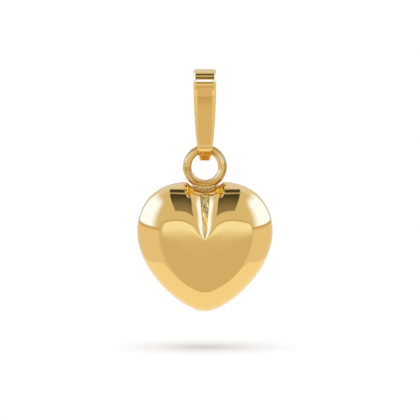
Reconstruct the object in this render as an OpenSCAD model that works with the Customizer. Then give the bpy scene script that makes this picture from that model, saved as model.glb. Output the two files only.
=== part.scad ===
// Puffed heart pendant of polished yellow gold: two domed half shells make the heart,
// a ring of round wire is soldered into its notch, and a tapered strap bail hangs from
// the chain and carries the ring in its folded foot.
//
// Millimetres. The origin is the chain's seat, inside the top of the bail. The heart
// hangs below it with its front towards -Y, and its seam lies in the plane Y = 0.

/* [Heart] */
// Width across the two lobes
heart_w = 10; // [8:0.1:12]
// Height from the tops of the lobes to the tip
heart_h = 9.6; // [8:0.1:11.5]
// Depth of each half, from the seam to its crown
half_depth = 2.3; // [2:0.1:3]
// Thickness of the stamped sheet
sheet_t = 0.25; // [0.15:0.01:0.3]
// Fullness of the dome: 2 is an ellipse, more is flatter on top and fuller at the side
dome_power = 2.6; // [2.2:0.1:3.6]
// What the fullness gains towards the tip, which is blunt from the side
tip_power = 2; // [0:0.5:5]
// Width of the crease between the lobes, to each side of the middle
crease_w = 0.42; // [0.3:0.02:0.7]
// Length over which the crease opens to that width
crease_l = 0.95; // [0.6:0.05:1.6]
// Height of the crease's pointed lower end above the heart's middle
crease_end = 0.15; // [-0.5:0.05:1]
// Slope of the crease's two flanks, which meet in a sharp line
crease_flank = 0.9; // [0.5:0.05:1]
// Rounding with which the lobes roll over into the flanks
crease_blend = 0.28; // [0.1:0.02:0.4]
// Slope of the broad valley that parts the lobes above the crease's end
valley_slope = 0.2; // [0:0.02:0.4]
// Height of the valley's lower end above the heart's middle
valley_end = 1.25; // [0.8:0.05:2]
// Reach of the valley to each side of the middle
valley_w = 1.1; // [0.6:0.05:1.6]
// Rounding of the valley's lower end
valley_blend = 0.3; // [0.1:0.05:0.6]

/* [Ring] */
// Thickness of the ring's round wire
ring_wire = 0.65; // [0.5:0.01:0.7]
// Inside diameter of the ring
ring_bore = 1.96; // [1.8:0.02:2.4]
// Depth of the ring's seat below the tops of the lobes
seat_depth = 0.61; // [0.5:0.01:0.8]
// Solder between the wire and the heart, at the foot of the ring
solder_t = 0.1; // [0.06:0.01:0.16]
// Width of the solder, from front to back
solder_w = 0.6; // [0.4:0.02:0.62]
// Part of a turn that the solder covers, in degrees
solder_arc = 80; // [60:2:84]

/* [Bail] */
// Overall height of the bail
bail_h = 6.77; // [6:0.05:8]
// Thickness of the bail's strap
strap_t = 0.25; // [0.2:0.01:0.3]
// Width of the strap over the chain
strap_w_top = 1.67; // [1.4:0.01:1.9]
// Width of the strap at the bottom fold
strap_w_foot = 0.9; // [0.8:0.01:1]
// Rounding of the strap's long edges
strap_edge = 0.1; // [0.05:0.01:0.1]
// Diameter of the space for the chain
chain_space = 1.7; // [1.5:0.05:2]
// How far the arch over the chain curls in below its widest, in degrees
arch_curl = 18; // [10:1:22]
// Length of the flat neck between the arch and the legs
neck_l = 0.5; // [0.3:0.05:0.7]
// Room between the ring and the legs at the shoulders, where the legs are closest
foot_room = 0.16; // [0.05:0.01:0.2]
// Play between the bail's fold and the ring, for the ring to swing
ring_play = 0.04; // [0.03:0.01:0.08]

/* [Hidden] */
$fn = 64;
gold = "#d6af66";

// Steps along each span of the heart's outline, and from its seam to its crown
span_steps = 5;
dome_steps = 12;
lining_steps = 6;
// Softness of the corner between the ring's seat and the lobes
seat_corner = 0.07;
// Gap left between the solder and the sheet, so that neither runs into the other
solder_gap = 0.01;
// A reach longer than any in the heart, for directions that miss the ring's seat
far = 100;

// The strap's fold: two flats at 45 degrees that meet in a tight bend at the bottom. The
// radii are those of the strap's middle line at the neck, at the shoulders and in the fold.
fold_lean = 45;
neck_r = 0.3;
shoulder_r = 0.45;
fold_hollow = 0.05;
fold_r = fold_hollow + strap_t / 2;
// Half of what the strap gains in width from its bottom to where the wire touches it
fold_gain = 0.07;

// Ring
wire_r = ring_wire / 2;
ring_r = ring_bore / 2 + wire_r;
seat_r = ring_r + wire_r + solder_t;

// The ring's inner wall curves down beside the wire's middle, so the fold clears it
// where its flats end, at the start of the strap's rounded edges
fold_half_w = strap_w_foot / 2 + fold_gain - strap_edge;
fold_reach = ring_r - sqrt(pow(ring_bore / 2, 2) - pow(fold_half_w, 2)) + ring_play;

// Heights, from the chain's seat downwards
bail_foot_z = strap_t - bail_h;
fold_z = bail_foot_z + strap_t / 2;
hinge_z = fold_z + (fold_reach + strap_t / 2) * sqrt(2) - fold_r * (sqrt(2) - 1);
ring_z = hinge_z - ring_r;
lobe_top_z = ring_z - seat_r + seat_depth;

// Right half of the heart's outline, from the notch to the tip, as the control points
// of a smooth curve, in hundredths of half the width from the heart's middle.
heart_pts = [
    [0, 82], [24, 87], [41, 85], [67, 78], [93, 54],
    [105, 10], [88, -42], [52, -82], [25, -100], [0, -110]
];
spans = len(heart_pts) - 1;
around = 2 * spans * span_steps;

function mirrored(p) = [-p[0], p[1]];
function control(i) =
    i < 0 ? mirrored(heart_pts[-i]) :
    i > spans ? mirrored(heart_pts[2 * spans - i]) :
    heart_pts[i];

// Point at share t of span i of a uniform cubic B-spline
function on_curve(i, t) =
    (pow(1 - t, 3) * control(i - 1)
    + (3 * pow(t, 3) - 6 * pow(t, 2) + 4) * control(i)
    + (3 * t + 3 * pow(t, 2) - 3 * pow(t, 3) + 1) * control(i + 1)
    + pow(t, 3) * control(i + 2)) / 6;

half_curve = [
    for (i = [0 : spans - 1], j = [0 : span_steps - 1]) on_curve(i, j / span_steps),
    on_curve(spans - 1, 1)
];
curve_w = 2 * max([for (p = half_curve) p[0]]);
curve_top = max([for (p = half_curve) p[1]]);
curve_h = curve_top - min([for (p = half_curve) p[1]]);
to_width = heart_w / curve_w;
to_height = heart_h / curve_h;

// Height of the heart's middle, from which every level of the dome is scaled
middle_z = lobe_top_z - curve_top * to_height;
ring_rise = ring_z - middle_z;

// The outline gives way to the ring's seat, an arc about the ring, in a rounded corner
function softer(a, b) = min(a, b) - seat_corner * ln(1 + exp(-abs(a - b) / seat_corner));
function seat_reach(a) =
    let (d = pow(seat_r, 2) - pow(ring_rise * sin(a), 2))
    d < 0 || abs(a) > 90 ? far : ring_rise * cos(a) - sqrt(d);
function seated(p) =
    let (reach = norm(p), a = atan2(p[0], p[1]))
    p * softer(reach, seat_reach(a)) / reach;

right_half = [for (p = half_curve) seated([p[0] * to_width, p[1] * to_height])];
outline = [
    for (i = [0 : around - 1])
        i <= around / 2 ? right_half[i] : mirrored(right_half[around - i])
];

// Zero far below zero, x itself far above, and a bend of the given softness between
function soft_ramp(x, blend) = max(x, 0) + blend * ln(1 + exp(-abs(x) / blend));
function tanh(x) = (exp(2 * x) - 1) / (exp(2 * x) + 1);

// The crease opens from a point, and keeps the form of its section as it opens
function crease(p) =
    let (opening = tanh((p[1] - crease_end) / crease_l))
    opening <= 0 ? 0 :
    soft_ramp(crease_flank * (crease_w * opening - abs(p[0])), crease_blend * opening);
function valley(p) =
    valley_slope * soft_ramp(p[1] - valley_end, valley_blend) * exp(-pow(p[0] / valley_w, 2));

// How far the parting of the lobes lies below the dome, at a point of the front
function parting(p) = crease(p) + valley(p);

// Fullness of the dome in the direction of p: 0 is up and 1 is down to the tip
function fullness(p) = dome_power + tip_power * pow((1 - p[1] / norm(p)) / 2, 4);

// One level of a dome: its outline shrunk to the middle and raised from the seam.
// The meridian is a superellipse, upright at the seam and level at the crown.
function level(ring_pts, depth, a) = [
    for (p = ring_pts)
        let (q = p * pow(cos(a), 2 / fullness(p)))
        [q[0], -(depth - parting(q)) * sin(a), q[1] + middle_z]
];
function dome(ring_pts, depth, steps) = [
    for (j = [0 : steps - 1]) each level(ring_pts, depth, 90 * j / steps),
    [0, -(depth - parting([0, 0])), middle_z]
];

// Triangles of a dome's skin, whose points start at index from
function skin(from, steps) = [
    for (j = [0 : steps - 2], i = [0 : around - 1])
        let (
            a = from + j * around + i,
            b = from + j * around + (i + 1) % around,
            c = b + around,
            d = a + around
        )
        each [[a, b, c], [a, c, d]],
    for (i = [0 : around - 1])
        [
            from + (steps - 1) * around + i,
            from + (steps - 1) * around + (i + 1) % around,
            from + steps * around
        ]
];
function turned(tris) = [for (t = tris) [t[0], t[2], t[1]]];

// A stamped half shell: the outer dome, its lining and the flat rim at the seam
module half_shell() {
    lining = [for (p = outline) p * (norm(p) - sheet_t) / norm(p)];
    outer = dome(outline, half_depth, dome_steps);
    inner = dome(lining, half_depth - sheet_t, lining_steps);
    first = len(outer);
    rim = [
        for (i = [0 : around - 1])
            let (j = (i + 1) % around)
            each [[i, first + i, first + j], [i, first + j, j]]
    ];
    polyhedron(
        points = concat(outer, inner),
        faces = concat(skin(0, dome_steps), turned(skin(first, lining_steps)), rim)
    );
}

module heart_front() {
    color(gold) half_shell();
}

module heart_back() {
    color(gold) mirror([0, 1, 0]) half_shell();
}

// Turns a profile of radius and depth about the ring's axis, which lies along Y
module about_ring(from, turn) {
    translate([0, 0, ring_z])
        rotate([90, 0, 0])
            rotate([0, 0, from])
                rotate_extrude(angle = turn) children();
}

module wire_section() {
    translate([ring_r, 0]) circle(r = wire_r);
}

module jump_ring() {
    color(gold) about_ring(0, 360) wire_section();
}

// Solder fills the seat from the wire's flanks down to the heart's sheet
module solder() {
    flank = ring_r + sqrt(pow(wire_r, 2) - pow(solder_w / 2, 2));
    color(gold)
        about_ring(270 - solder_arc / 2, solder_arc)
            difference() {
                translate([flank, -solder_w / 2])
                    square([seat_r - solder_gap - flank, solder_w]);
                wire_section();
            }
}

// Right side of the bail's middle line, seen from its edge. Each station is the depth,
// the height and the direction in which the strap's outer face looks, in degrees.
arch_r = chain_space / 2 + strap_t / 2;
arch_z = -chain_space / 2;
arch_foot = [arch_r * cos(arch_curl), arch_z - arch_r * sin(arch_curl)];
neck_way = [-sin(arch_curl), -cos(arch_curl)];
neck_foot = arch_foot + neck_l * neck_way;
neck_c = neck_foot + neck_r * [cos(arch_curl), -sin(arch_curl)];
// The flats of the fold rise from its rounded bottom to the shoulders
fold_out = [cos(fold_lean), -sin(fold_lean)];
fold_way = [-cos(fold_lean), -sin(fold_lean)];
fold_c = [0, fold_z + fold_r];
shoulder_y = fold_reach + foot_room + strap_t / 2 - shoulder_r;
flat_l = shoulder_y / cos(fold_lean) + shoulder_r - fold_r;
fold_top = fold_c + fold_r * fold_out - flat_l * fold_way;
shoulder_c = fold_top - shoulder_r * fold_out;
// Each leg is the straight line that touches the bend of the neck and the shoulder
span = shoulder_c - neck_c;
leg_lean = atan2(-span[0], -span[1]) - asin((neck_r + shoulder_r) / norm(span));
leg_out = [cos(leg_lean), -sin(leg_lean)];
leg_top = neck_c - neck_r * leg_out;
leg_foot = shoulder_c + shoulder_r * leg_out;
leg_l = norm(leg_foot - leg_top);
leg_way = (leg_foot - leg_top) / leg_l;

arch_steps = 16;
neck_steps = 2;
bend_steps = 3;
leg_steps = 9;
shoulder_steps = 4;
flat_steps = 2;
fold_steps = 5;

// A bend turns outwards with a radius below zero
function bend(c, r, a0, a1, steps) = [
    for (i = [0 : steps - 1])
        let (a = a0 + (a1 - a0) * i / steps)
        [c[0] + r * cos(a), c[1] + r * sin(a), a]
];
function straight(p, way, l, a, steps) = [
    for (i = [0 : steps - 1])
        let (q = p + way * l * i / steps)
        [q[0], q[1], a]
];
right_side = concat(
    bend([0, arch_z], arch_r, 90, -arch_curl, arch_steps),
    straight(arch_foot, neck_way, neck_l, -arch_curl, neck_steps),
    bend(neck_c, -neck_r, -arch_curl, -leg_lean, bend_steps),
    straight(leg_top, leg_way, leg_l, -leg_lean, leg_steps),
    bend(shoulder_c, shoulder_r, -leg_lean, -fold_lean, shoulder_steps),
    straight(fold_top, fold_way, flat_l, -fold_lean, flat_steps),
    bend(fold_c, fold_r, -fold_lean, -90, fold_steps),
    [[0, fold_z, -90]]
);
side_n = len(right_side) - 1;
stations = concat(
    right_side,
    [for (i = [1 : side_n - 1])
        let (s = right_side[side_n - i])
        [-s[0], s[1], 180 - s[2]]]
);

// The strap is widest over the chain and tapers faster and faster towards its foot
function strap_w(z) =
    let (fall = max(0, (arch_z - z) / (arch_z - fold_z)))
    strap_w_top - (strap_w_top - strap_w_foot) * pow(fall, 2);

// Section of the strap, a rectangle with rounded corners, three steps to a corner
corner_steps = 3;
section_n = 4 * (corner_steps + 1);
function section(w) = [
    for (side = [[1, 1, 0], [-1, 1, 90], [-1, -1, 180], [1, -1, 270]], k = [0 : corner_steps])
        let (a = side[2] + 90 * k / corner_steps)
        [side[0] * (w / 2 - strap_edge) + strap_edge * cos(a),
        side[1] * (strap_t / 2 - strap_edge) + strap_edge * sin(a)]
];

module bail() {
    n = len(stations);
    points = [
        for (s = stations, p = section(strap_w(s[1])))
            [p[0], s[0] + p[1] * cos(s[2]), s[1] + p[1] * sin(s[2])]
    ];
    faces = [
        for (i = [0 : n - 1], k = [0 : section_n - 1])
            let (
                a = i * section_n + k,
                b = i * section_n + (k + 1) % section_n,
                c = ((i + 1) % n) * section_n + (k + 1) % section_n,
                d = ((i + 1) % n) * section_n + k
            )
            each [[a, b, c], [a, c, d]]
    ];
    color(gold) polyhedron(points = points, faces = faces);
}

heart_front();
heart_back();
jump_ring();
solder();
bail();
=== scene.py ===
# %% [markdown]
# A puffed heart pendant in polished yellow gold. The real one is stamped as two thin half shells,
# which are soldered edge to edge, given a ring in the notch, and hung from a folded strap, the
# bail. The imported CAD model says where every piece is. This file dresses each piece in a finer
# mesh that follows the same rule, gives the gold its polish, and sets up a small photographer's
# light tent.

# %% Load the frame
import math
from typing import NamedTuple

import bpy
import numpy as np
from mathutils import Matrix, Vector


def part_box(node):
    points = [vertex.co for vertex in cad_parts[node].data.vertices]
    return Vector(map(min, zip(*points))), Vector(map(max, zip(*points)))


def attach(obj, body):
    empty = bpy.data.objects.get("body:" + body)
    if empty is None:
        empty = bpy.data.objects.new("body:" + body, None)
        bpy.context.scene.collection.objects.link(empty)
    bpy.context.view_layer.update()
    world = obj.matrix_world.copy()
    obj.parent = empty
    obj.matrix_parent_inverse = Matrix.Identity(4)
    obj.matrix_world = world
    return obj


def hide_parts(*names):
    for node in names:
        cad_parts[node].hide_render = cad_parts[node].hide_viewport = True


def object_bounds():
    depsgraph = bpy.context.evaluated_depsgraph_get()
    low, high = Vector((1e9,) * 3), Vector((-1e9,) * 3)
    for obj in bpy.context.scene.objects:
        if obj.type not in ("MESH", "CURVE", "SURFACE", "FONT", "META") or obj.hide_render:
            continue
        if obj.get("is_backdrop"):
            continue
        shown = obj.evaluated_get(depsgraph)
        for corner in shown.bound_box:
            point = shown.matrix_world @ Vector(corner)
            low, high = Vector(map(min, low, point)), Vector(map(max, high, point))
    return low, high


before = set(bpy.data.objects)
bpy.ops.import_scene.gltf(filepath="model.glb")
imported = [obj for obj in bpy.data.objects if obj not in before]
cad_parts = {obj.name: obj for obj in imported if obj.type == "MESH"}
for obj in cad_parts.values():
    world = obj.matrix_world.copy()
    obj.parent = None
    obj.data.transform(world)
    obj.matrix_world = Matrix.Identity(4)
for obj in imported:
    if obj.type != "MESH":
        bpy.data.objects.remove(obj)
cad_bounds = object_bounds()
MM = 0.001
TINY = 1e-7
MATH = "ShaderNodeMath"
VECTOR = "ShaderNodeVectorMath"
SEPARATE = "ShaderNodeSeparateXYZ"
COMBINE = "ShaderNodeCombineXYZ"
print("CAD box, mm:", [[round(v / MM, 3) for v in corner] for corner in cad_bounds])


def srgb(code):
    """Linear colour of an sRGB hex value."""
    parts = [int(code[i:i + 2], 16) / 255 for i in (1, 3, 5)]
    return [p / 12.92 if p <= 0.04045 else ((p + 0.055) / 1.055) ** 2.4 for p in parts]


def add(tree, kind, feeds=(), **settings):
    """Adds a node. feeds holds what goes into its sockets: values, sockets, or whole nodes, which
    stand for their first output."""
    node = tree.nodes.new(kind)
    for name, value in settings.items():
        setattr(node, name, value)
    pairs = feeds.items() if isinstance(feeds, dict) else enumerate(feeds)
    for key, feed in pairs:
        if isinstance(feed, bpy.types.Node):
            feed = feed.outputs[0]
        if isinstance(feed, bpy.types.NodeSocket):
            tree.links.new(feed, node.inputs[key])
        else:
            node.inputs[key].default_value = feed
    return node


# %% [markdown]
# The camera stands a little above the pendant and looks slightly down on it. Jewellery is shot with
# a long lens from some distance, which keeps the heart from looking swollen. The focal length
# follows from how wide a strip of the world the picture shows, so it is worked out from that size.

# %% Camera
VIEW_W = 30.95 * MM
VIEW_CENTRE = (0.376 * MM, 0, -10.155 * MM)
CAMERA_AWAY = 0.5
CAMERA_RISE = math.radians(5)

camera_data = bpy.data.cameras.new("camera")
camera_data.sensor_width = 36
camera_data.lens = camera_data.sensor_width * CAMERA_AWAY / VIEW_W
camera_data.clip_start = 0.01
camera = bpy.data.objects.new("camera", camera_data)
camera.location = (
    VIEW_CENTRE[0],
    VIEW_CENTRE[1] - CAMERA_AWAY * math.cos(CAMERA_RISE),
    VIEW_CENTRE[2] + CAMERA_AWAY * math.sin(CAMERA_RISE),
)
camera.rotation_euler = (math.pi / 2 - CAMERA_RISE, 0, 0)
bpy.context.scene.collection.objects.link(camera)
bpy.context.scene.camera = camera
print("lens, mm:", round(camera_data.lens))

# %% [markdown]
# A mirror shows nothing but its surroundings, so polished gold looks as good as the room round it.
# The room is a light tent: a box of white cloth with a soft light behind each side wall, a bright
# panel round the lens, and a dark opening in its ceiling. Cards of light could stand in the scene
# as objects. Painting them on the sky by direction is lighter: it has no noise, and the cards stay
# out of every picture. A direction is carried on to the wall of the tent that it meets, one unit
# away, and each card is a rectangle with round corners on that wall.

# %% Cards in the tent
GOLD = "#F9CC76"
FRONT, SIDES, CEILING, FLOOR = "front", "sides", "ceiling", "floor"
# So far out that a card with this half size never ends there
OPEN = 9
# The ceiling comes down towards the lens
CEILING_SLOPE = 0.36


def seen_in_gold(code):
    """Light that polished gold shows as this colour."""
    return [seen / own for seen, own in zip(srgb(code), srgb(GOLD))] + [1]


class Card(NamedTuple):
    """A card on a wall, whose light may turn into another between two places along an axis.
    bow bends its edges that run across the picture back towards their ends."""
    wall: str
    centre: tuple
    half: tuple
    corner: float
    soft: float
    light: str
    other: str = None
    fade: tuple = ("Z", 0, 1)
    bow: float = 0


# Each card lies over the ones before it
CARDS = [
    # The cloth of the ceiling behind the pendant, and the light behind each side wall
    Card(CEILING, (0, 1.7, 0), (2, 1.5, OPEN), 0.3, 0.1, "#E0C58C"),
    Card(SIDES, (0, 0.21, 0.3), (OPEN, 0.89, 0.8), 0.35, 0.6, "#FFFCEA"),
    # The dark lower edge of those lights, the lit walls below it, and the floor
    Card(SIDES, (0, 0, -OPEN + 0.115), (OPEN, OPEN, OPEN), 0.02, 0.02, "#C79D50"),
    Card(SIDES, (0, 0, -OPEN + 0.06), (OPEN, OPEN, OPEN), 0.03, 0.04, "#E4BE74"),
    Card(FLOOR, (0, 2.67, 0), (1.8, 4, OPEN), 0.3, 0.05, "#F5CF80"),
    # The panel round the lens, which is brightest at its top, and has a double rim
    Card(FRONT, (0.065, 0, -0.285), (0.995, OPEN, 0.525), 0.2, 0.02, "#A97F3A"),
    Card(FRONT, (0.065, 0, -0.285), (0.98, OPEN, 0.51), 0.19, 0.02, "#D8B26A"),
    Card(FRONT, (0.13, 0, -0.285), (0.91, OPEN, 0.505), 0.2, 0.02, "#BD9449"),
    Card(
        FRONT, (0.135, 0, -0.285), (0.9, OPEN, 0.495), 0.19, 0.03,
        "#D3AC63", "#F9DC94", ("Z", -0.12, 0.1),
    ),
    # The opening in the ceiling, its bowed rear edge, and a bowed rod across it
    Card(
        CEILING, (0, -0.64, 0), (0.44, 0.5, OPEN), 0.04, 0.03,
        "#8F7540", "#4A3A1E", ("Y", -1.1, -0.3),
    ),
    Card(CEILING, (0, -0.25, 0), (0.44, 0.26, OPEN), 0.03, 0.03, "#4A3A1E", bow=2.3),
    Card(CEILING, (0, -0.27, 0), (0.46, 0.04, OPEN), 0.02, 0.03, "#C9A566", bow=1.3),
]

# %% Light tent
PLAIN_WALL = "#D9B56C"
# Keeps the division finite for a direction that runs along a wall
LEVEL_GUARD = 0.001
# A little over white, so that no noise shows in the background
BACKDROP = (1.02, 1.02, 1.02, 1)

world = bpy.data.worlds.new("light tent")
bpy.context.scene.world = world
world.use_nodes = True
sky = world.node_tree
sky.nodes.clear()
direction = add(sky, "ShaderNodeTexCoord").outputs["Generated"]
along = add(sky, SEPARATE, [direction]).outputs
outward = {
    FRONT: add(sky, MATH, [along["Y"], -1], operation="MULTIPLY"),
    SIDES: add(sky, MATH, [along["X"]], operation="ABSOLUTE"),
    CEILING: add(sky, MATH, [along["Y"], -CEILING_SLOPE, along["Z"]], operation="MULTIPLY_ADD"),
    FLOOR: add(sky, MATH, [along["Z"], -1], operation="MULTIPLY"),
}
meets = {}
for wall, reach in outward.items():
    ahead = add(sky, MATH, [reach, LEVEL_GUARD], operation="MAXIMUM")
    stretch = add(sky, MATH, [1, ahead], operation="DIVIDE")
    meets[wall] = add(sky, VECTOR, {0: direction, "Scale": stretch}, operation="SCALE")

seen = add(sky, "ShaderNodeRGB")
seen.outputs[0].default_value = seen_in_gold(PLAIN_WALL)
seen = seen.outputs[0]
for card in CARDS:
    from_centre = add(sky, VECTOR, [meets[card.wall], card.centre], operation="SUBTRACT")
    if card.bow:
        aside = add(sky, SEPARATE, [from_centre]).outputs["X"]
        sag = add(sky, MATH, [aside, aside], operation="MULTIPLY")
        back = add(sky, MATH, [sag, -card.bow], operation="MULTIPLY")
        shift = add(sky, COMBINE, [0, back, 0])
        from_centre = add(sky, VECTOR, [from_centre, shift], operation="ADD")
    quarter = add(sky, VECTOR, [from_centre], operation="ABSOLUTE")
    inner = [max(h - card.corner, 0) for h in card.half]
    past = add(sky, VECTOR, [quarter, inner], operation="SUBTRACT")
    outside = add(sky, VECTOR, [past, (0, 0, 0)], operation="MAXIMUM")
    gap = add(sky, VECTOR, [outside], operation="LENGTH").outputs["Value"]
    edge = [gap, card.corner - card.soft / 2, card.corner + card.soft / 2, 1, 0]
    inside = add(sky, "ShaderNodeMapRange", edge, interpolation_type="SMOOTHSTEP")
    axis, start, end = card.fade
    place = add(sky, SEPARATE, [meets[card.wall]]).outputs[axis]
    fade = [place, start, end, 0, 1]
    turn = add(sky, "ShaderNodeMapRange", fade, interpolation_type="SMOOTHSTEP")
    light = seen_in_gold(card.light)
    other = seen_in_gold(card.other or card.light)
    shade = add(sky, "ShaderNodeMix", {0: turn, 6: light, 7: other}, data_type="RGBA")
    layers = {0: inside, 6: seen, 7: shade.outputs[2]}
    covered = add(sky, "ShaderNodeMix", layers, data_type="RGBA")
    seen = covered.outputs[2]

# Only reflections show the tent. Behind the pendant is plain white, and the table has its own
# lamps.
is_camera = add(sky, "ShaderNodeLightPath").outputs["Is Camera Ray"]
backdrop = add(sky, "ShaderNodeMix", {0: is_camera, 6: seen, 7: BACKDROP}, data_type="RGBA")
glow = add(sky, "ShaderNodeBackground", {"Color": backdrop.outputs[2]})
add(sky, "ShaderNodeOutputWorld", {"Surface": glow})
world.cycles_visibility.diffuse = False
bpy.context.scene.view_settings.view_transform = "Standard"
print("cards in the tent:", len(CARDS))

# %% [markdown]
# The pendant hangs just above a white table, which shows nothing but its soft shadow. Two lamps
# light the table alone: a very wide one overhead, which makes the shadow, and one without a shadow
# that fills the shadow up. Neither is seen in the gold, because the tent stands for both there.

# %% Table and shadow
TABLE_Z = -20.3 * MM
TABLE_W = 3.0
TABLE_LIGHT = 0.8
bpy.ops.mesh.primitive_plane_add(size=TABLE_W, location=(0, 0, TABLE_Z))
table = bpy.context.object
table.name = "table"
table.visible_glossy = False
table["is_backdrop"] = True
card_white = bpy.data.materials.new("white card")
card_white.use_nodes = True
plain = card_white.node_tree.nodes["Principled BSDF"].inputs
plain["Base Color"].default_value = (TABLE_LIGHT, TABLE_LIGHT, TABLE_LIGHT, 1)
plain["Specular IOR Level"].default_value = 0
table.data.materials.append(card_white)

# Name, how wide the light is spread, strength, whether it throws a shadow
LAMPS = [("overhead", 72, 2.5, True), ("fill", 5, 1.6, False)]
for name, spread, strength, has_shadow in LAMPS:
    lamp_data = bpy.data.lights.new(name, "SUN")
    lamp_data.angle = math.radians(spread)
    lamp_data.energy = strength
    lamp_data.use_shadow = has_shadow
    lamp = bpy.data.objects.new(name, lamp_data)
    lamp.visible_glossy = False
    bpy.context.scene.collection.objects.link(lamp)
print("table below the chain's seat, mm:", round(-TABLE_Z / MM, 2), "lamps:", len(LAMPS))

# %% [markdown]
# The metal is 18 carat yellow gold. All of its colour is in its reflection, so it is fully metallic
# and keeps the default IOR. The pieces differ only in how their surface was made, which is how
# rough it is and what grain it has, so one function makes them all. Die-struck sheet is buffed to
# a mirror, and the buff leaves faint swirls, which make its edges of light a little uneven.

# %% Gold
def gold(name, smooth, rough, swirl_mm, dent_mm, grain_mm, flow=None):
    """Gold whose roughness wanders from smooth to rough over swirls, under a grain of small dents.
    flow turns places on the piece into places in the pattern. Gives the material, its tree and the
    node of the metal."""
    material = bpy.data.materials.new(name)
    material.use_nodes = True
    tree = material.node_tree
    tree.nodes.clear()
    place = add(tree, "ShaderNodeTexCoord").outputs["Object"]
    if flow:
        place = flow(tree, place)
    swirls = add(tree, "ShaderNodeTexNoise", {
        "Vector": place, "Scale": 1 / (swirl_mm * MM), "Detail": 4.0,
    })
    # Nearly all of a noise lies between these two values
    few, most = 0.3, 0.7
    wander = add(tree, "ShaderNodeMapRange", [swirls.outputs["Fac"], few, most, smooth, rough])
    grain = add(tree, "ShaderNodeTexNoise", {
        "Vector": place, "Scale": 1 / (grain_mm * MM), "Detail": 3.0,
    })
    dents = add(tree, "ShaderNodeBump", {
        "Height": grain.outputs["Fac"], "Distance": dent_mm * MM, "Strength": 1.0,
    })
    metal = add(tree, "ShaderNodeBsdfPrincipled", {
        "Base Color": srgb(GOLD) + [1], "Metallic": 1.0, "Roughness": wander, "Normal": dents,
    })
    add(tree, "ShaderNodeOutputMaterial", [metal])
    print("gold:", name, "roughness", smooth, "to", rough)
    return material, tree, metal


# %% [markdown]
# The outline of the heart is a smooth curve through a few control points on each side. Where the
# ring sits, the outline gives way to an arc about the ring, in a soft corner. These are the rules
# of the CAD model, with its sizes read back from the frame where that can be done.

# %% Heart outline
# One side from the notch to the tip. The unit means nothing, because the curve is scaled to the
# size of the CAD's heart.
HALF_POINTS = np.array([
    [0, 82], [24, 87], [41, 85], [67, 78], [93, 54],
    [105, 10], [88, -42], [52, -82], [25, -100], [0, -110],
])
STEPS = 26
SEAT_CORNER = 0.07 * MM
SOLDER_T = 0.1 * MM
LOW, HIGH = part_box("heart_front")
HEART_W = HIGH.x - LOW.x
HEART_H = HIGH.z - LOW.z
HALF_DEPTH = HIGH.y - LOW.y

ring_low, ring_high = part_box("jump_ring")
RING_Z = (ring_low.z + ring_high.z) / 2
WIRE_R = (ring_high.y - ring_low.y) / 2
RING_R = (ring_high.z - ring_low.z) / 2 - WIRE_R
SEAT_R = RING_R + WIRE_R + SOLDER_T


def smooth_curve(points, steps):
    """Half of a closed curve that is mirrored in x: a uniform cubic B-spline."""
    flip = np.array([-1, 1])
    control = np.vstack([points[1] * flip, points, points[-2] * flip])
    t = (np.arange(steps) / steps)[:, None]
    shares = [(1 - t) ** 3, 3 * t**3 - 6 * t**2 + 4, 1 + 3 * t + 3 * t**2 - 3 * t**3, t**3]
    spans = [
        sum(share * point for share, point in zip(shares, control[i:i + 4])) / 6
        for i in range(len(control) - 3)
    ]
    last = (control[-3] + 4 * control[-2] + control[-1]) / 6
    return np.vstack(spans + [last])


half = smooth_curve(HALF_POINTS, STEPS)
half *= [HEART_W / (2 * half[:, 0].max()), HEART_H / np.ptp(half[:, 1])]
MIDDLE_Z = HIGH.z - half[:, 1].max()
ring_rise = RING_Z - MIDDLE_Z
reach = np.hypot(half[:, 0], half[:, 1])
turn = np.arctan2(half[:, 0], half[:, 1])

# How far out a line from the middle meets the seat's arc, or a metre if it never does
miss = SEAT_R**2 - (ring_rise * np.sin(turn)) ** 2
to_seat = np.where(
    (miss > 0) & (np.cos(turn) > 0),
    ring_rise * np.cos(turn) - np.sqrt(np.maximum(miss, 0)),
    1.0,
)

# The outline is the nearer of the two, with a soft change from one to the other
rounding = SEAT_CORNER * np.log1p(np.exp(-np.abs(reach - to_seat) / SEAT_CORNER))
seated = np.minimum(reach, to_seat) - rounding
half *= (seated / reach)[:, None]
outline = np.vstack([half, half[-2:0:-1] * [-1, 1]])
AROUND = len(outline)
print("outline points:", AROUND)
print("heart, mm:", round(HEART_W / MM, 3), round(HEART_H / MM, 3))

# %% The dome round the seat
# The higher the dome rises, the less it follows the corners of the seat. So its crown has a reach
# of its own, which is the outline's one evened out over some degrees. This and a fuller section
# are kept to the notch, and fade out at these angles from straight up.
EVEN_OUT = math.radians(5)
EVENED_TO = math.radians(28)
FULLER_TO = math.radians(14)
reach = np.hypot(outline[:, 0], outline[:, 1])
turn = np.arctan2(outline[:, 0], outline[:, 1])
apart = np.abs(turn[:, None] - turn[None, :])
apart = np.minimum(apart, 2 * math.pi - apart)
weight = np.exp(-0.5 * (apart / EVEN_OUT) ** 2) * np.gradient(np.unwrap(turn))
evened = (weight * reach).sum(axis=1) / weight.sum(axis=1)
crown_reach = reach + (evened - reach) * np.exp(-(turn / EVENED_TO) ** 4)
by_seat = np.exp(-(turn / FULLER_TO) ** 4)
print("crown evened out by up to, mm:", round(np.abs(crown_reach - reach).max() / MM, 3))

# %% [markdown]
# A node tree makes its mesh while Blender evaluates the object that carries it. The result is then
# kept as a plain mesh, so that nothing has to be worked out again when the pendant is posed or
# exported. Every piece of this pendant follows a rule, so each one gets a tree, and the trees share
# their start and their end.

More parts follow.
